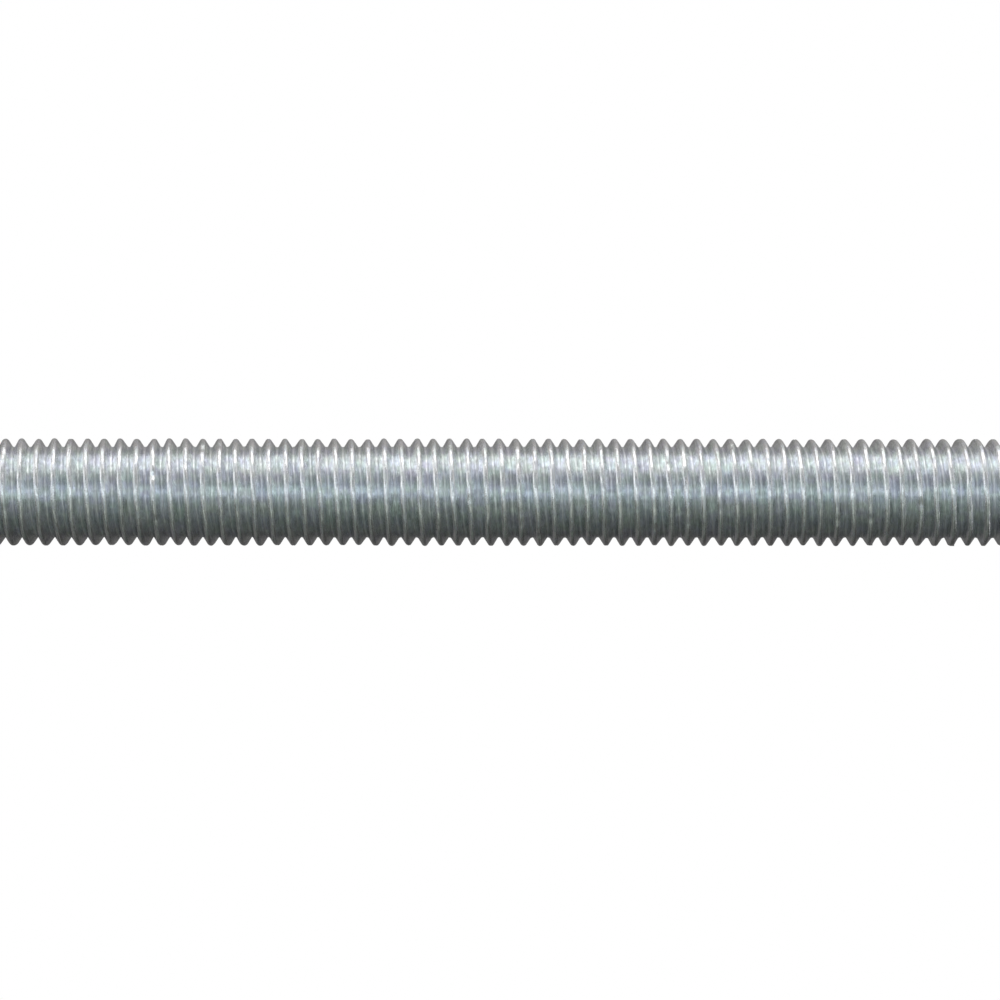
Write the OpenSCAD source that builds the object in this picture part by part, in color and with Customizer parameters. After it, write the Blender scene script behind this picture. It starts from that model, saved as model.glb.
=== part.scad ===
/* [Thread] */
// Diameter over the crests of the thread
major_d = 9.82; // [8:0.02:12]
// Advance of the thread along the rod in one turn
pitch = 1.5; // [1.3:0.05:2]
// Angle between the two flanks of a groove
flank_angle = 60; // [50:1:70]
// Width of the land along the crest
crest_w = 0.23; // [0.1:0.01:0.3]
// Width of the flat along the bottom of the groove
root_w = 0.34; // [0.1:0.01:0.4]
// Straight sides in one turn of the thread
turn_sides = 20; // [12:4:20]

/* [Rod] */
// Length from one end face to the other
rod_length = 100; // [20:1:110]
// Angle between an end's chamfer and the rod's axis
chamfer_angle = 45; // [30:1:60]
// How far each chamfer cuts in below the bottom of the groove
chamfer_reach = 0.2; // [0.1:0.05:0.5]

/* [Hidden] */

crest_r = major_d / 2;
flank_w = (pitch - crest_w - root_w) / 2;
thread_depth = flank_w / tan(flank_angle / 2);
root_r = crest_r - thread_depth;

// Each end face is a full disc, because its chamfer starts below the groove.
end_face_r = root_r - chamfer_reach;
chamfer_h = thread_depth + chamfer_reach;
chamfer_l = chamfer_h / tan(chamfer_angle);

// Room round the crests, so that the envelope trims nothing but the two ends.
envelope_gap = 0.5;

// One groove and one ridge as [place along the rod, radius], over one pitch.
thread_profile = [
    [0, root_r],
    [root_w, root_r],
    [root_w + flank_w, crest_r],
    [pitch - flank_w, crest_r],
];
profile_size = len(thread_profile);

// The ribbon starts a turn below the rod's foot and ends above its top.
turns = ceil(rod_length / pitch) + 2;
last_ring = turns * turn_sides;

// A profile point after that many steps of the right-hand helix.
function on_helix(point, step) =
    let (angle = 360 * step / turn_sides)
    let (rise = pitch * (step / turn_sides - 1))
    [point[1] * cos(angle), point[1] * sin(angle), point[0] + rise];

// Points of the ribbon, then those of its last edge, one turn on.
helix_points = concat(
    [for (step = [0 : last_ring]) for (point = thread_profile) on_helix(point, step)],
    [for (step = [last_ring + 1 : last_ring + turn_sides]) on_helix(thread_profile[0], step)]
);
foot_centre = len(helix_points);
top_centre = foot_centre + 1;

// Place of a point in that list. The end of one profile is the start of the profile a turn later.
function index_of(step, k) =
    k == profile_size ? index_of(step + turn_sides, 0)
    : step <= last_ring ? step * profile_size + k
    : (last_ring + 1) * profile_size + step - last_ring - 1;

ribbon_faces = [
    for (step = [0 : last_ring - 1])
    for (k = [0 : profile_size - 1])
    each [
        [index_of(step, k), index_of(step, k + 1), index_of(step + 1, k + 1)],
        [index_of(step, k), index_of(step + 1, k + 1), index_of(step + 1, k)],
    ]
];

// Each end of the ribbon is closed towards the axis: the profile's step, then one turn of root edge.
foot_faces = concat(
    [for (k = [0 : profile_size - 1]) [foot_centre, index_of(0, k + 1), index_of(0, k)]],
    [for (step = [0 : turn_sides - 1]) [foot_centre, index_of(step, 0), index_of(step + 1, 0)]]
);
top_faces = concat(
    [for (k = [0 : profile_size - 1])
        [top_centre, index_of(last_ring, k), index_of(last_ring, k + 1)]],
    [for (step = [last_ring : last_ring + turn_sides - 1])
        [top_centre, index_of(step + 1, 0), index_of(step, 0)]]
);

// Helical ridge and core in one, longer than the rod at both ends.
module helix() {
    polyhedron(
        points = concat(helix_points, [[0, 0, -pitch], [0, 0, pitch * turns]]),
        faces = concat(ribbon_faces, foot_faces, top_faces),
        convexity = 10
    );
}

// Square-cut ends with a chamfer, turned about the rod's axis.
module end_envelope() {
    envelope_r = crest_r + envelope_gap;
    cone_l = chamfer_l + envelope_gap / tan(chamfer_angle);
    rotate_extrude($fn = 96)
        polygon([
            [0, 0],
            [end_face_r, 0],
            [envelope_r, cone_l],
            [envelope_r, rod_length - cone_l],
            [end_face_r, rod_length],
            [0, rod_length],
        ]);
}

// The rod stands on its end, with the centre of its lower face at the origin.
module threaded_rod() {
    color("silver")
        intersection() {
            helix();
            end_envelope();
        }
}

threaded_rod();
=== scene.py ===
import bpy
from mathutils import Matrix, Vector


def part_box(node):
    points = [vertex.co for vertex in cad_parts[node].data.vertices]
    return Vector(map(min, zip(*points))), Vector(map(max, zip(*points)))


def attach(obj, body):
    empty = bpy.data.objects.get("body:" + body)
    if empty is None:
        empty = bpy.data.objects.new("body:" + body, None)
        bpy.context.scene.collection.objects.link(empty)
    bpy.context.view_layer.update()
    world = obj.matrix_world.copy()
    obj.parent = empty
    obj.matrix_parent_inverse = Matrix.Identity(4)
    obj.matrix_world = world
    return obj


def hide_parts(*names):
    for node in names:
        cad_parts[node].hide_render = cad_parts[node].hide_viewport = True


bl_info = {
    "name": "Threaded rod",
    "version": (1, 0, 0),
    "blender": (4, 5, 0),
    "location": "3D View > Sidebar > Rod",
    "description": "Builds a zinc-plated threaded rod round its packed solid, with a plain studio",
    "category": "Object",
}

import bisect
import math
import random

import bmesh
import bpy
from bpy.props import FloatProperty, FloatVectorProperty, IntProperty, PointerProperty
from mathutils import Matrix, Vector, noise

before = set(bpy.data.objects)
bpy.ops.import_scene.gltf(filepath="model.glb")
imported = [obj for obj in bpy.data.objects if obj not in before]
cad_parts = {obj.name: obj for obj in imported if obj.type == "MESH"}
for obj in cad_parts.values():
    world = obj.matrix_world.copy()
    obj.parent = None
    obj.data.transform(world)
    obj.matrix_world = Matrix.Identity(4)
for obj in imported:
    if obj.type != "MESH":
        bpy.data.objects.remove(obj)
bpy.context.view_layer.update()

NODE = "threaded_rod"
MM = 0.001
FULL_TURN = 2 * math.pi

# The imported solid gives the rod's length and its diameter over the crests.
low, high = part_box(NODE)
ROD_LENGTH = high[2] - low[2]
CREST_RADIUS = (high[0] - low[0]) / 2
CIRCUMFERENCE = FULL_TURN * CREST_RADIUS

# The helix starts this many turns below the foot, and is cut to length later.
TURNS_BELOW = 2
MERGE_DISTANCE = 0.004 * MM
CUT_TOLERANCE = 1e-7
SHARP_ANGLE = math.radians(32)

# Lengths over which a fold, a nick and a burr fade, and how far from its middle a nick still counts.
FOLD_WIDTH = 0.07 * MM
NICK_LENGTH = 0.28 * MM
BURR_LENGTH = 0.3 * MM
NICK_REACH = 1 * MM

# Nicks lie at random places. The shallowest has this share of the deepest one's depth.
NICK_SEED = 5
SHALLOWEST_NICK = 0.4

# Waves along the thread, as their size and the lane of the noise that they read.
CREST_LANE = 3.3
CREST_RIPPLE = (1.1 * MM, 7.7)
FOLD_WAVE = (5 * MM, 17.1)
ROOT_WAVE = (2.5 * MM, 27.9)
SWAY_WAVE = (3.1 * MM, 41.3)

# Added to these waves, so that crests fall short and fold over more than half of their length.
CREST_BIAS = 0.15
FOLD_BIAS = 0.1

# How much the crests' ripple counts beside their long waves.
RIPPLE_SHARE = 0.5

# Sizes of the plating's patches, of its grains and of the rings on the ends.
TINT_PATCH = 1.6 * MM
BLOOM_PATCH = 1.1 * MM
DULL_PATCH = 0.5 * MM
GRAIN = 0.07 * MM
RING_WIDTH = 0.16 * MM

# The colours between which the plating blooms, and how far the rings drift with the place.
YELLOW_BLOOM = (1.0, 1.01, 0.965, 1)
VIOLET_BLOOM = (1.0, 0.975, 1.02, 1)
RING_DRIFT = 0.02

# How much the grain stands out beside the lines and beside the rings.
THREAD_GRAIN = 0.15
END_GRAIN = 0.1

# Sizes of the marks on the thread, along it and across it. The map is flat, so the third has no effect.
BROAD_LINE = (3.2 * MM, 0.42 * MM, 1)
FINE_LINE = (0.8 * MM, 0.16 * MM, 1)
RUBBED_STRETCH = (1.1 * MM, 0.4 * MM, 1)
FINE_LINE_SHARE = 0.45

# Heights on the thread, as shares of its depth, over which the crest and the root begin.
CREST_ZONE = (0.80, 0.98)
ROOT_ZONE = (0.25, 0.0)

# How much rougher or smoother than the plain roughness each part is.
THREAD_SMOOTHER = 0.06
DULL_PATCH_ROUGHER = 0.12
DULL_CREST_ROUGHER = 0.14
RUBBED_CREST_SMOOTHER = 0.04
ROOT_ROUGHER = 0.14
END_ROUGHER = 0.09

# The floor fades to white between two shares of its radius.
FLOOR_RADIUS = 8.5 * MM
FLOOR_FADE = (0.6, 0.97)
FLOOR_GREY = 0.8

# How strongly the world lights what is matt.
EVEN_LIGHT = 0.4

TENT_RADIUS = 1.5

# Paper of the tent, by degrees round the rod, counted from the camera upwards in the picture.
# Each row has the angle, the paper's grey at each of the five rises, then its tint.
# A rise is the height above the rod's foot, as a share of the tent's radius.
PAPER_RISES = (-0.9, -0.45, 0.0, 0.45, 0.9)
NEUTRAL = (1.0, 1.0, 1.0)
GREENISH = (0.91, 1.0, 0.91)
BLUISH = (0.90, 1.0, 1.06)
WARM = (1.04, 1.0, 0.98)
PAPER = (
    (-170, 0.20, 0.15, 0.15, 0.15, 0.20, WARM),
    (-135, 0.10, 0.05, 0.05, 0.15, 0.15, WARM),
    (-75, 0.20, 0.05, 0.20, 0.10, 0.15, GREENISH),
    (-30, 0.40, 0.25, 0.60, 0.20, 0.05, GREENISH),
    (-8, 0.45, 0.30, 0.50, 0.25, 0.20, BLUISH),
    (18, 0.60, 0.30, 0.20, 0.35, 0.70, BLUISH),
    (40, 0.65, 0.40, 0.40, 0.80, 0.80, NEUTRAL),
    (80, 0.60, 0.60, 0.40, 0.45, 0.40, NEUTRAL),
    (115, 0.35, 0.60, 0.40, 0.35, 0.90, WARM),
    (155, 0.40, 0.40, 0.35, 0.30, 0.55, WARM),
)


class RodSizes(bpy.types.PropertyGroup):
    """Sizes of the rolled thread and of the rod's ends."""

    pitch: FloatProperty(
        name="Pitch", description="Advance of the thread in one turn", default=1.5 * MM, unit="LENGTH"
    )
    plating_gap: FloatProperty(
        name="Plating gap",
        description="How far the crests stay inside the packed solid",
        default=0.001 * MM,
        unit="LENGTH",
    )
    depth: FloatProperty(
        name="Depth",
        description="Height of the crest above the groove",
        default=0.79 * MM,
        unit="LENGTH",
    )
    crest_rounding: FloatProperty(
        name="Crest rounding",
        description="Radius of the rolled crest",
        default=0.28 * MM,
        unit="LENGTH",
    )
    foot_angle: FloatProperty(
        name="Foot angle",
        description="Angle between a flank that faces the foot and the plane across the rod",
        default=math.radians(33),
        subtype="ANGLE",
    )
    head_angle: FloatProperty(
        name="Head angle",
        description="Angle between a flank that faces the head and the plane across the rod",
        default=math.radians(30.5),
        subtype="ANGLE",
    )
    crest_phase: FloatProperty(
        name="Crest phase",
        description="Height of a crest's middle straight above the frame's X axis",
        default=0.92 * MM,
        unit="LENGTH",
    )
    end_face_radius: FloatProperty(
        name="End face radius",
        description="Radius of the flat left on each end",
        default=3.905 * MM,
        unit="LENGTH",
    )
    turn_steps: IntProperty(
        name="Steps in a turn", description="Mesh steps in one turn", default=96, min=24
    )
    crest_steps: IntProperty(
        name="Steps over a crest", description="Mesh steps over a crest", default=6, min=2
    )
    root_steps: IntProperty(
        name="Steps over a root", description="Mesh steps over half a root", default=3, min=1
    )


class RodWear(bpy.types.PropertyGroup):
    """How uneven the rolled thread is."""

    crest_drop: FloatProperty(
        name="Crest drop",
        description="How far crests fall short",
        default=0.095 * MM,
        unit="LENGTH",
    )
    crest_wave: FloatProperty(
        name="Crest wave",
        description="Length of the uneven stretches",
        default=2.8 * MM,
        unit="LENGTH",
    )
    crest_sway: FloatProperty(
        name="Crest sway",
        description="How far crests lean to either side",
        default=0.12 * MM,
        unit="LENGTH",
    )
    fold_depth: FloatProperty(
        name="Fold depth",
        description="Depth of the fold along the crest",
        default=0.07 * MM,
        unit="LENGTH",
    )
    root_rise: FloatProperty(
        name="Root rise",
        description="How far the groove's bottom rises and falls",
        default=0.05 * MM,
        unit="LENGTH",
    )
    nicks: IntProperty(name="Nicks", description="Number of nicks in the crests", default=90, min=0)
    nick_depth: FloatProperty(
        name="Nick depth",
        description="Depth of the deepest nick",
        default=0.16 * MM,
        unit="LENGTH",
    )
    burrs: FloatVectorProperty(
        name="Burrs",
        description="Heights of two burrs, both on the side away from the X axis",
        default=(9.17 * MM, 16.67 * MM),
        size=2,
        unit="LENGTH",
    )
    burr_reach: FloatProperty(
        name="Burr reach",
        description="How far a burr is bent over",
        default=0.3 * MM,
        unit="LENGTH",
    )


class RodFinish(bpy.types.PropertyGroup):
    """Colours and wear of the zinc plating."""

    zinc: FloatVectorProperty(
        name="Zinc",
        description="Plain colour of the plating",
        default=(0.775, 0.82, 0.845),
        subtype="COLOR",
    )
    rubbed: FloatVectorProperty(
        name="Rubbed zinc",
        description="Colour of the rubbed crests",
        default=(0.86, 0.87, 0.88),
        subtype="COLOR",
    )
    roughness: FloatProperty(
        name="Roughness", description="Plain roughness", default=0.21, min=0, max=1
    )
    tint: FloatProperty(
        name="Tint", description="Strength of the passivation's tints", default=0.25, min=0, max=1
    )
    cloudiness: FloatProperty(
        name="Cloudiness", description="Darkening of the dull patches", default=0.16, min=0, max=1
    )
    line_contrast: FloatProperty(
        name="Line contrast", description="Light and dark of the rolled lines", default=0.17, min=0, max=1
    )
    line_depth: FloatProperty(
        name="Line depth",
        description="Depth of the rolled lines",
        default=0.07 * MM,
        unit="LENGTH",
    )
    ring_depth: FloatProperty(
        name="Ring depth",
        description="Depth of the rings on the ends",
        default=0.02 * MM,
        unit="LENGTH",
    )


class StudioSettings(bpy.types.PropertyGroup):
    """The camera in front of the rod."""

    lens: FloatProperty(
        name="Lens", description="Focal length", default=132.6, subtype="DISTANCE_CAMERA"
    )
    distance: FloatProperty(
        name="Distance",
        description="From the camera to the rod's axis",
        default=336 * MM,
        unit="LENGTH",
    )
    aim_height: FloatProperty(
        name="Aim height",
        description="Height of the picture's centre",
        default=50.32 * MM,
        unit="LENGTH",
    )
    aim_drop: FloatProperty(
        name="Aim drop",
        description="From the rod's axis to the picture's centre",
        default=0.69 * MM,
        unit="LENGTH",
    )
    roll: FloatProperty(
        name="Roll",
        description="Turn of the picture from square",
        default=math.radians(0.035),
        subtype="ANGLE",
    )


def new_material(name):
    """A node material without any nodes."""
    material = bpy.data.materials.new(name)
    material.use_nodes = True
    material.node_tree.nodes.clear()
    return material


def add_node(tree, kind, inputs=None, **settings):
    """A node of that kind, with its settings. A named input gets a value or another node's output."""
    made = tree.nodes.new(kind)
    for key, value in settings.items():
        setattr(made, key, value)
    for key, value in (inputs or {}).items():
        if isinstance(value, bpy.types.NodeSocket):
            tree.links.new(value, made.inputs[key])
        else:
            made.inputs[key].default_value = value
    return made


def maths(tree, operation, *operands, clamp=False):
    """The output of a Math node whose operands are values or sockets."""
    return add_node(
        tree, "ShaderNodeMath", dict(enumerate(operands)), operation=operation, use_clamp=clamp
    ).outputs[0]


def mixed(tree, share, first, second, blend="MIX"):
    """The output of a Mix node for colours."""
    return add_node(
        tree, "ShaderNodeMix", {0: share, 6: first, 7: second}, data_type="RGBA", blend_type=blend
    ).outputs[2]


def grey(tree, value):
    """Grey of that value, as a colour."""
    return add_node(tree, "ShaderNodeCombineColor", {0: value, 1: value, 2: value}).outputs[0]


def ramped(tree, value, from_low, from_high, to_low=0.0, to_high=1.0):
    """The value carried smoothly from one range to another, and held at its ends."""
    inputs = {
        "Value": value,
        "From Min": from_low,
        "From Max": from_high,
        "To Min": to_low,
        "To Max": to_high,
    }
    return add_node(tree, "ShaderNodeMapRange", inputs, interpolation_type="SMOOTHSTEP").outputs["Result"]


def stretched_noise(tree, place, size, detail=2.0):
    """Noise whose grains measure that size in metres."""
    scale = [1 / length for length in size]
    fitted = add_node(tree, "ShaderNodeMapping", {"Vector": place, "Scale": scale})
    inputs = {"Vector": fitted.outputs[0], "Scale": 1.0, "Detail": detail, "Roughness": 0.6}
    return add_node(tree, "ShaderNodeTexNoise", inputs)


def even_noise(tree, place, size, detail=2.0):
    """Noise whose grains measure the same every way."""
    return stretched_noise(tree, place, (size, size, size), detail)


def parted(tree, value, reach, to_low=0.0, to_high=1.0):
    """Noise made clearer: it goes from the low value to the high one within that reach of its middle."""
    return ramped(tree, value, 0.5 - reach, 0.5 + reach, to_low, to_high)


def white_to_eye_and_metal(tree):
    """1 for the rays that show a background: the camera's, those of gloss and those through glass."""
    path = add_node(tree, "ShaderNodeLightPath")
    direct = maths(tree, "ADD", path.outputs["Is Camera Ray"], path.outputs["Is Glossy Ray"])
    return maths(tree, "ADD", direct, path.outputs["Is Transmission Ray"], clamp=True)


def zinc_plating_group():
    """Cloudy tints, dull patches and fine grain of bright zinc, shared by the thread and the ends."""
    group = bpy.data.node_groups.new("zinc_plating", "ShaderNodeTree")
    for name, way, kind in (
        ("Place", "INPUT", "NodeSocketVector"),
        ("Zinc", "INPUT", "NodeSocketColor"),
        ("Tint", "INPUT", "NodeSocketFloat"),
        ("Cloudiness", "INPUT", "NodeSocketFloat"),
        ("Colour", "OUTPUT", "NodeSocketColor"),
        ("Dullness", "OUTPUT", "NodeSocketFloat"),
        ("Grain", "OUTPUT", "NodeSocketFloat"),
    ):
        group.interface.new_socket(name, in_out=way, socket_type=kind)
    given = add_node(group, "NodeGroupInput")
    place = given.outputs["Place"]

    tints = even_noise(group, place, TINT_PATCH).outputs["Color"]
    tinted = mixed(group, given.outputs["Tint"], given.outputs["Zinc"], tints, "SOFT_LIGHT")
    hues = even_noise(group, place, BLOOM_PATCH).outputs["Fac"]
    bloom = mixed(group, parted(group, hues, 0.12), YELLOW_BLOOM, VIOLET_BLOOM)
    tinted = mixed(group, 1.0, tinted, bloom, "MULTIPLY")
    clouds = even_noise(group, place, DULL_PATCH, 3.0).outputs["Fac"]
    dullness = parted(group, clouds, 0.15)
    darkening = maths(group, "MULTIPLY", given.outputs["Cloudiness"], -1.0)
    shade = grey(group, maths(group, "MULTIPLY_ADD", dullness, darkening, 1.0))
    outputs = {
        "Colour": mixed(group, 1.0, tinted, shade, "MULTIPLY"),
        "Dullness": dullness,
        "Grain": even_noise(group, place, GRAIN, 1.0).outputs["Fac"],
    }
    add_node(group, "NodeGroupOutput", outputs)
    return group


def plated(tree, finish, plating, place):
    """The zinc plating's node group, with the values of the finish."""
    inputs = {
        "Place": place,
        "Zinc": (*finish.zinc, 1),
        "Tint": finish.tint,
        "Cloudiness": finish.cloudiness,
    }
    return add_node(tree, "ShaderNodeGroup", inputs, node_tree=plating)


def add_metal(tree, colour, roughness, relief, depth):
    """Bare metal with that relief, as the material's surface."""
    bump = add_node(tree, "ShaderNodeBump", {"Height": relief, "Strength": 1.0, "Distance": depth})
    inputs = {"Base Color": colour, "Metallic": 1.0, "Roughness": roughness, "Normal": bump.outputs[0]}
    shader = add_node(tree, "ShaderNodeBsdfPrincipled", inputs)
    add_node(tree, "ShaderNodeOutputMaterial", {"Surface": shader.outputs[0]})


def thread_material(finish, plating):
    """Zinc on the rolled thread: lines along the thread, and crests rubbed bright here and there."""
    material = new_material("zinc_plated_thread")
    tree = material.node_tree
    place = add_node(tree, "ShaderNodeTexCoord").outputs["Object"]
    along = add_node(tree, "ShaderNodeUVMap", uv_map="along_thread").outputs[0]
    height = add_node(tree, "ShaderNodeAttribute", attribute_name="thread_height").outputs["Fac"]
    zinc = plated(tree, finish, plating, place)

    # Lines that the rolling dies left along the thread, in two widths.
    broad = stretched_noise(tree, along, BROAD_LINE).outputs["Fac"]
    fine = stretched_noise(tree, along, FINE_LINE, 1.0).outputs["Fac"]
    broad_part = maths(tree, "MULTIPLY", broad, 1 - FINE_LINE_SHARE)
    lines = maths(tree, "MULTIPLY_ADD", fine, FINE_LINE_SHARE, broad_part)
    line_shade = parted(tree, lines, 0.17, 1 - finish.line_contrast, 1 + finish.line_contrast)
    colour = mixed(tree, 1.0, zinc.outputs["Colour"], grey(tree, line_shade), "MULTIPLY")

    # Crests are rubbed bright, in broken stretches, and dull between them.
    broken = stretched_noise(tree, along, RUBBED_STRETCH).outputs["Fac"]
    crest = ramped(tree, height, *CREST_ZONE)
    rubbed = maths(tree, "MULTIPLY", crest, parted(tree, broken, 0.1))
    colour = mixed(tree, rubbed, colour, (*finish.rubbed, 1))

    plain = finish.roughness - THREAD_SMOOTHER
    crest_change = parted(tree, broken, 0.1, DULL_CREST_ROUGHER, -RUBBED_CREST_SMOOTHER)
    root_change = ramped(tree, height, *ROOT_ZONE, 0.0, ROOT_ROUGHER)
    roughness = maths(tree, "MULTIPLY_ADD", zinc.outputs["Dullness"], DULL_PATCH_ROUGHER, plain)
    roughness = maths(tree, "MULTIPLY_ADD", crest, crest_change, roughness)
    roughness = maths(tree, "ADD", roughness, root_change)
    relief = maths(tree, "MULTIPLY_ADD", zinc.outputs["Grain"], THREAD_GRAIN, lines)
    add_metal(tree, colour, roughness, relief, finish.line_depth)
    return material


def cut_end_material(finish, plating):
    """Zinc on the faced ends and their chamfers, with the rings that the tool left."""
    material = new_material("zinc_plated_cut_end")
    tree = material.node_tree
    place = add_node(tree, "ShaderNodeTexCoord").outputs["Object"]
    zinc = plated(tree, finish, plating, place)

    # The rings go by the distance from the axis, and drift a little with the place.
    parts = add_node(tree, "ShaderNodeSeparateXYZ", {0: place})
    level = add_node(tree, "ShaderNodeCombineXYZ", {0: parts.outputs["X"], 1: parts.outputs["Y"]}).outputs[0]
    radius = add_node(tree, "ShaderNodeVectorMath", {0: level}, operation="LENGTH").outputs["Value"]
    drift = add_node(tree, "ShaderNodeVectorMath", {0: place, 3: RING_DRIFT}, operation="SCALE").outputs[0]
    outward = add_node(tree, "ShaderNodeCombineXYZ", {0: radius}).outputs[0]
    ringed = add_node(tree, "ShaderNodeVectorMath", {0: outward, 1: drift}, operation="ADD").outputs[0]
    rings = even_noise(tree, ringed, RING_WIDTH).outputs["Fac"]
    ring_shade = parted(tree, rings, 0.2, 1 - finish.line_contrast, 1 + finish.line_contrast)
    colour = mixed(tree, 1.0, zinc.outputs["Colour"], grey(tree, ring_shade), "MULTIPLY")

    plain = finish.roughness + END_ROUGHER
    roughness = maths(tree, "MULTIPLY_ADD", zinc.outputs["Dullness"], DULL_PATCH_ROUGHER, plain)
    relief = maths(tree, "MULTIPLY_ADD", zinc.outputs["Grain"], END_GRAIN, rings)
    add_metal(tree, colour, roughness, relief, finish.ring_depth)
    return material


def thread_profile(mesh, sizes):
    """The geometry of one pitch of the thread: a chain of edges in the XZ plane, from root to root."""
    angles = (sizes.foot_angle, sizes.head_angle)
    crest_top = CREST_RADIUS - sizes.plating_gap
    root_bottom = crest_top - sizes.depth
    across = Vector((0, 1, 0))

    # The roots take the rounding at which one ridge and one groove fill the pitch.
    straight = sum(math.tan(angle) for angle in angles)
    rounded = sum(math.tan(math.pi / 4 - angle / 2) for angle in angles)
    roundings = (sizes.pitch - sizes.depth * straight) / rounded
    root_rounding = roundings - sizes.crest_rounding
    bends = [math.pi / 2 - angle for angle in angles]
    flank_outs = [sizes.depth - roundings * (1 - math.cos(bend)) for bend in bends]
    flank_rises = [out * math.tan(angle) for out, angle in zip(flank_outs, angles)]
    middle = roundings * math.sin(bends[0]) + flank_rises[0]

    start = bmesh.ops.create_vert(mesh, co=(root_bottom, 0, -middle))["vert"][0]

    def arc(vert, centre, angle, steps):
        made = bmesh.ops.spin(
            mesh, geom=[vert], cent=centre, axis=across, angle=angle, steps=steps, use_duplicate=False
        )
        return made["geom_last"][0]

    def flank(vert, rise, out):
        made = bmesh.ops.extrude_vert_indiv(mesh, verts=[vert])["verts"][0]
        made.co = (made.co.x + out, 0, made.co.z + rise)
        return made

    root_centre = (root_bottom + root_rounding, 0, -middle)
    crest_centre = (crest_top - sizes.crest_rounding, 0, 0)
    next_root_centre = (root_bottom + root_rounding, 0, sizes.pitch - middle)
    at = arc(start, root_centre, bends[0], sizes.root_steps)
    at = flank(at, flank_rises[0], flank_outs[0])
    at = arc(at, crest_centre, -sum(bends), sizes.crest_steps)
    at = flank(at, flank_rises[1], -flank_outs[1])
    arc(at, next_root_centre, bends[1], sizes.root_steps)
    return mesh.verts[:] + mesh.edges[:]


def swept_thread(sizes):
    """The profile wound into a right-hand helix that is longer than the rod at both ends."""
    mesh = bmesh.new()
    across = mesh.verts.layers.float.new("across")
    along = mesh.verts.layers.float.new("along")
    foot = mesh.verts.layers.float.new("foot")
    height = mesh.verts.layers.float.new("thread_height")
    along_thread = mesh.loops.layers.uv.new("along_thread")

    profile = thread_profile(mesh, sizes)
    walked = 0.0
    before = root = mesh.verts[:][0]
    for vert in mesh.verts:
        walked += (vert.co - before.co).length
        vert[across] = walked
        vert[foot] = vert.co.z
        vert[height] = (vert.co.x - root.co.x) / sizes.depth
        before = vert
    bmesh.ops.spin(
        mesh,
        geom=profile,
        cent=(0, 0, 0),
        axis=(0, 0, 1),
        dvec=(0, 0, sizes.pitch / sizes.turn_steps),
        angle=FULL_TURN,
        steps=sizes.turn_steps,
        use_duplicate=False,
    )

    # Every turn is a copy of the first, one pitch higher.
    one_turn = mesh.verts[:] + mesh.edges[:] + mesh.faces[:]
    turns = math.ceil(ROD_LENGTH / sizes.pitch) + TURNS_BELOW + 1
    for turn in range(1, turns):
        copied = bmesh.ops.duplicate(mesh, geom=one_turn)["geom"]
        verts = [part for part in copied if isinstance(part, bmesh.types.BMVert)]
        bmesh.ops.translate(mesh, verts=verts, vec=(0, 0, turn * sizes.pitch))

    # The map runs along the thread and across it, in metres.
    for vert in mesh.verts:
        vert[along] = CIRCUMFERENCE * (vert.co.z - vert[foot]) / sizes.pitch
    for face in mesh.faces:
        for loop in face.loops:
            loop[along_thread].uv = (loop.vert[along], loop.vert[across])

    start = sizes.crest_phase - TURNS_BELOW * sizes.pitch
    bmesh.ops.translate(mesh, verts=mesh.verts[:], vec=(0, 0, start))
    bmesh.ops.remove_doubles(mesh, verts=mesh.verts[:], dist=MERGE_DISTANCE)
    return mesh


def waves(place, size, lane):
    """Smooth noise along the thread, between -1 and 1, with waves of that size."""
    return noise.noise(Vector((place / size, lane, 0.5)))


def bell(distance, length):
    """1 at no distance, fading to nothing over a few times that length."""
    return math.exp(-((distance / length) ** 2))


def roughen_thread(mesh, sizes, wear):
    """Uneven crests and roots, folds, nicks and burrs. Nothing reaches further out than a clean crest."""
    across = mesh.verts.layers.float["across"]
    along = mesh.verts.layers.float["along"]
    height = mesh.verts.layers.float["thread_height"]
    crest_middle = max(mesh.verts, key=lambda vert: vert[height])[across]
    length = max(vert[along] for vert in mesh.verts)
    chance = random.Random(NICK_SEED)
    nicks = sorted(chance.uniform(0, length) for _ in range(wear.nicks))
    nick_depths = [wear.nick_depth * chance.uniform(SHALLOWEST_NICK, 1.0) for _ in nicks]
    burr_turns = [(burr - sizes.crest_phase) / sizes.pitch + TURNS_BELOW for burr in wear.burrs]
    burr_places = [CIRCUMFERENCE * turn for turn in burr_turns]
    for vert in mesh.verts:
        place = vert[along]
        lift = vert[height]
        shorter = max(0.0, CREST_BIAS + waves(place, wear.crest_wave, CREST_LANE))
        shorter += RIPPLE_SHARE * max(0.0, waves(place, *CREST_RIPPLE))
        drop = wear.crest_drop * lift * shorter
        folded = max(0.0, FOLD_BIAS + waves(place, *FOLD_WAVE))
        drop += wear.fold_depth * folded * bell(vert[across] - crest_middle, FOLD_WIDTH)
        first = bisect.bisect_left(nicks, place - NICK_REACH)
        for middle, depth in zip(nicks[first:], nick_depths[first:]):
            if middle > place + NICK_REACH:
                break
            drop += depth * lift**3 * bell(place - middle, NICK_LENGTH)
        drop -= wear.root_rise * (1 - lift) * waves(place, *ROOT_WAVE)
        radius = vert.co.xy.length
        vert.co.xy *= (radius - drop) / radius
        vert.co.z += wear.crest_sway * lift * waves(place, *SWAY_WAVE)
        burr = sum(bell(place - middle, BURR_LENGTH) for middle in burr_places)
        vert.co.z -= wear.burr_reach * lift**6 * burr


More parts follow.
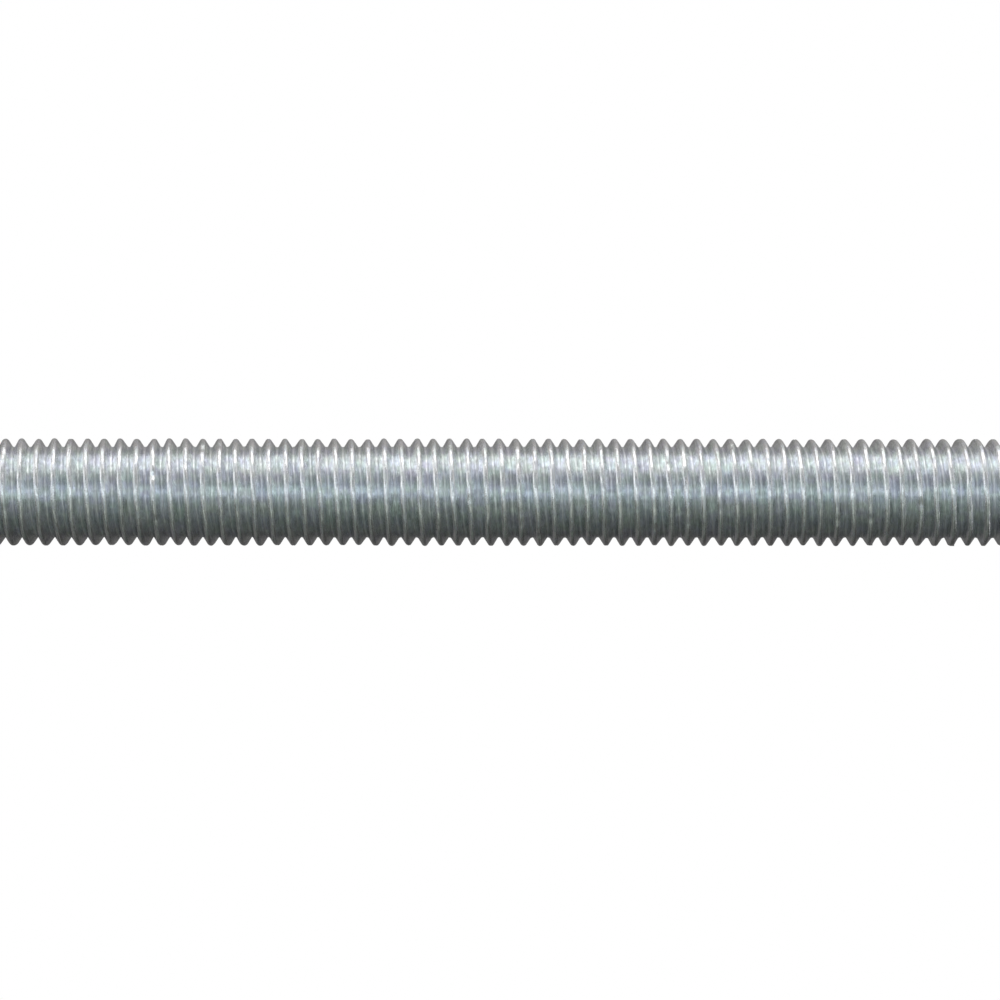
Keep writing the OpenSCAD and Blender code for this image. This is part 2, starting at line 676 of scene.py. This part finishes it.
def cut_ends(mesh, sizes):
    """Square ends at both faces, with a chamfer, closed by a flat."""
    for height, outward in ((0.0, -1), (ROD_LENGTH, 1)):
        bmesh.ops.bisect_plane(
            mesh,
            geom=mesh.verts[:] + mesh.edges[:] + mesh.faces[:],
            dist=CUT_TOLERANCE,
            plane_co=(0, 0, height),
            plane_no=(0, 0, outward),
            clear_outer=True,
        )
    for vert in mesh.verts:
        vert.co.z = min(max(vert.co.z, 0.0), ROD_LENGTH)
        from_end = min(vert.co.z, ROD_LENGTH - vert.co.z)
        allowed = sizes.end_face_radius + from_end
        radius = vert.co.xy.length
        vert.tag = radius > allowed
        if vert.tag:
            vert.co.xy *= allowed / radius
    open_edges = [edge for edge in mesh.edges if edge.is_boundary]
    bmesh.ops.holes_fill(mesh, edges=open_edges, sides=0)

    # What the cuts touched has the second material.
    for face in mesh.faces:
        face.material_index = int(all(vert.tag for vert in face.verts))


def smooth_shading(mesh):
    """Smooth faces that point outwards, with sharp edges where the surface turns sharply."""
    bmesh.ops.recalc_face_normals(mesh, faces=mesh.faces[:])
    for face in mesh.faces:
        face.smooth = True
    for edge in mesh.edges:
        if edge.is_manifold and edge.calc_face_angle() > SHARP_ANGLE:
            edge.smooth = False


def mesh_object(mesh, name):
    """The mesh as an object at the origin."""
    data = bpy.data.meshes.new(name)
    mesh.to_mesh(data)
    mesh.free()
    made = bpy.data.objects.new(name, data)
    bpy.context.scene.collection.objects.link(made)
    return made


class ROD_OT_add_rod(bpy.types.Operator):
    """Add the zinc-plated rod"""

    bl_idname = "rod.add_rod"
    bl_label = "Add the rod"

    def execute(self, context):
        sizes = context.scene.rod_sizes
        finish = context.scene.rod_finish
        mesh = swept_thread(sizes)
        roughen_thread(mesh, sizes, context.scene.rod_wear)
        cut_ends(mesh, sizes)
        for name in ("across", "along", "foot"):
            mesh.verts.layers.float.remove(mesh.verts.layers.float[name])
        smooth_shading(mesh)
        piece = mesh_object(mesh, "zinc_plated_rod")
        plating = zinc_plating_group()
        piece.data.materials.append(thread_material(finish, plating))
        piece.data.materials.append(cut_end_material(finish, plating))
        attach(piece, "root")
        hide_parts(NODE)
        return {"FINISHED"}


def soft_lamp(name, around, height, spread, radiance, colour):
    """A soft lamp a metre from the rod, placed and sized by its angles round the rod and above it."""
    middle = Vector((0, 0, ROD_LENGTH / 2))
    around, height = math.radians(around), math.radians(height)
    level = math.cos(height)
    toward = Vector((level * math.sin(around), -level * math.cos(around), math.sin(height)))
    data = bpy.data.lights.new(name, "AREA")
    data.shape = "RECTANGLE"
    data.size, data.size_y = (2 * math.tan(math.radians(angle / 2)) for angle in spread)
    data.color = colour
    data.energy = radiance * math.pi * data.size * data.size_y
    lamp = bpy.data.objects.new(name, data)
    lamp.location = middle + toward
    lamp.rotation_euler = toward.to_track_quat("Z", "Y").to_euler()
    lamp.visible_camera = False
    bpy.context.scene.collection.objects.link(lamp)


def add_floor():
    """The small pale floor that the rod stands on. It fades to plain white at its rim."""
    mesh = bmesh.new()
    bmesh.ops.create_circle(mesh, cap_ends=True, segments=96, radius=FLOOR_RADIUS)
    floor = mesh_object(mesh, "floor")
    material = new_material("pale_floor")
    tree = material.node_tree
    place = add_node(tree, "ShaderNodeTexCoord").outputs["Object"]
    away = add_node(tree, "ShaderNodeVectorMath", {0: place}, operation="LENGTH").outputs["Value"]
    fade_start, fade_end = FLOOR_FADE
    rim = ramped(tree, away, fade_start * FLOOR_RADIUS, fade_end * FLOOR_RADIUS)
    seen = white_to_eye_and_metal(tree)
    matt = add_node(tree, "ShaderNodeBsdfDiffuse", {"Color": (FLOOR_GREY, FLOOR_GREY, FLOOR_GREY, 1)})
    strength = maths(tree, "MULTIPLY", seen, 1 - FLOOR_GREY)
    glow = add_node(tree, "ShaderNodeEmission", {"Strength": strength})
    middle = add_node(tree, "ShaderNodeAddShader", {0: matt.outputs[0], 1: glow.outputs[0]})
    white = add_node(tree, "ShaderNodeEmission", {"Strength": 1.0})
    share = maths(tree, "MULTIPLY", rim, seen)
    faded = add_node(tree, "ShaderNodeMixShader", {0: share, 1: middle.outputs[0], 2: white.outputs[0]})
    add_node(tree, "ShaderNodeOutputMaterial", {"Surface": faded.outputs[0]})
    floor.data.materials.append(material)


def add_surround():
    """A tent of graded paper round the rod, which only shows in its reflections."""
    mesh = bmesh.new()
    bmesh.ops.create_uvsphere(mesh, u_segments=96, v_segments=48, radius=TENT_RADIUS)
    bmesh.ops.reverse_faces(mesh, faces=mesh.faces[:])
    tent = mesh_object(mesh, "paper_tent")
    material = new_material("graded_paper")
    tree = material.node_tree
    place = add_node(tree, "ShaderNodeTexCoord").outputs["Object"]
    parts = add_node(tree, "ShaderNodeSeparateXYZ", {0: place})
    toward = maths(tree, "MULTIPLY", parts.outputs["Y"], -1.0)
    angle = maths(tree, "ARCTAN2", parts.outputs["X"], toward)
    share = maths(tree, "MULTIPLY_ADD", angle, 1 / FULL_TURN, 0.5)
    rise = maths(tree, "MULTIPLY", parts.outputs["Z"], 1 / TENT_RADIUS)
    colour = paper_ramp(tree, share, 0)
    for zone, (below, above) in enumerate(zip(PAPER_RISES, PAPER_RISES[1:]), 1):
        colour = mixed(tree, ramped(tree, rise, below, above), colour, paper_ramp(tree, share, zone))
    paper = add_node(tree, "ShaderNodeEmission", {"Color": colour, "Strength": 1.0})
    add_node(tree, "ShaderNodeOutputMaterial", {"Surface": paper.outputs[0]})
    material.cycles.emission_sampling = "NONE"
    tent.data.materials.append(material)
    tent.visible_camera = False
    tent.visible_diffuse = False
    tent.visible_shadow = False


def paper_ramp(tree, share, zone):
    """The paper's colour by angle round the rod, at one of its rises."""
    ramp = add_node(tree, "ShaderNodeValToRGB", {"Fac": share})
    ramp.color_ramp.interpolation = "LINEAR"

    # The first row's paper comes again at 180 degrees, where the round closes.
    rows = PAPER + ((180, *PAPER[0][1:]),)
    stops = ramp.color_ramp.elements
    while len(stops) < len(rows):
        stops.new(0.5)
    for stop, row in zip(stops, rows):
        stop.position = row[0] / 360 + 0.5
    for stop, row in zip(stops, rows):
        stop.color = (*(row[zone + 1] * part for part in row[-1]), 1)
    return ramp.outputs["Color"]


def add_world():
    """White to the eye and to metal, and a weak even light for what is matt."""
    world = bpy.data.worlds.new("studio")
    bpy.context.scene.world = world
    world.use_nodes = True
    tree = world.node_tree
    tree.nodes.clear()
    background = add_node(tree, "ShaderNodeBackground", {"Color": (1, 1, 1, 1)})
    strength = maths(tree, "MULTIPLY_ADD", white_to_eye_and_metal(tree), 1 - EVEN_LIGHT, EVEN_LIGHT)
    tree.links.new(strength, background.inputs["Strength"])
    output = add_node(tree, "ShaderNodeOutputWorld")
    tree.links.new(background.outputs[0], output.inputs["Surface"])


def add_camera(studio):
    """The photograph's view: the rod's axis runs across the picture, with its foot to the right."""
    data = bpy.data.cameras.new("camera")
    data.lens = studio.lens
    data.sensor_width = 36
    data.clip_start = 0.01
    data.clip_end = 10
    camera = bpy.data.objects.new("camera", data)
    right, up = Vector((0, 0, -1)), Vector((1, 0, 0))
    back = right.cross(up)
    square = Matrix((right, up, back)).transposed()
    camera.matrix_world = (
        Matrix.Translation((-studio.aim_drop, -studio.distance, studio.aim_height))
        @ square.to_4x4()
        @ Matrix.Rotation(studio.roll, 4, "Z")
    )
    bpy.context.scene.collection.objects.link(camera)
    bpy.context.scene.camera = camera


class ROD_OT_add_stage(bpy.types.Operator):
    """Add the floor, the surround, the lamps and the camera"""

    bl_idname = "rod.add_stage"
    bl_label = "Add the studio"

    def execute(self, context):
        scene = context.scene
        scene.view_settings.view_transform = "Standard"
        add_floor()
        add_surround()
        add_world()
        cool = (0.92, 1, 1.02)
        soft_lamp("key_lamp", around=82, height=-8, spread=(48, 60), radiance=1.08, colour=NEUTRAL)
        soft_lamp("strip_lamp", around=2, height=3, spread=(24, 72), radiance=0.75, colour=cool)
        soft_lamp("top_lamp", around=35, height=65, spread=(70, 50), radiance=0.45, colour=NEUTRAL)
        add_camera(scene.studio_settings)
        return {"FINISHED"}


class ROD_PT_build(bpy.types.Panel):
    """Steps that build the rod and its studio"""

    bl_label = "Threaded rod"
    bl_space_type = "VIEW_3D"
    bl_region_type = "UI"
    bl_category = "Rod"

    def draw(self, context):
        column = self.layout.column()
        column.operator(ROD_OT_add_rod.bl_idname)
        column.operator(ROD_OT_add_stage.bl_idname)


CLASSES = (RodSizes, RodWear, RodFinish, StudioSettings, ROD_OT_add_rod, ROD_OT_add_stage, ROD_PT_build)


def register():
    for cls in CLASSES:
        bpy.utils.register_class(cls)
    bpy.types.Scene.rod_sizes = PointerProperty(type=RodSizes)
    bpy.types.Scene.rod_wear = PointerProperty(type=RodWear)
    bpy.types.Scene.rod_finish = PointerProperty(type=RodFinish)
    bpy.types.Scene.studio_settings = PointerProperty(type=StudioSettings)


def unregister():
    del bpy.types.Scene.studio_settings
    del bpy.types.Scene.rod_finish
    del bpy.types.Scene.rod_wear
    del bpy.types.Scene.rod_sizes
    for cls in reversed(CLASSES):
        bpy.utils.unregister_class(cls)


def main():
    """Builds every piece in order."""
    register()
    bpy.ops.rod.add_rod()
    bpy.ops.rod.add_stage()


if __name__ == "__main__":
    main()
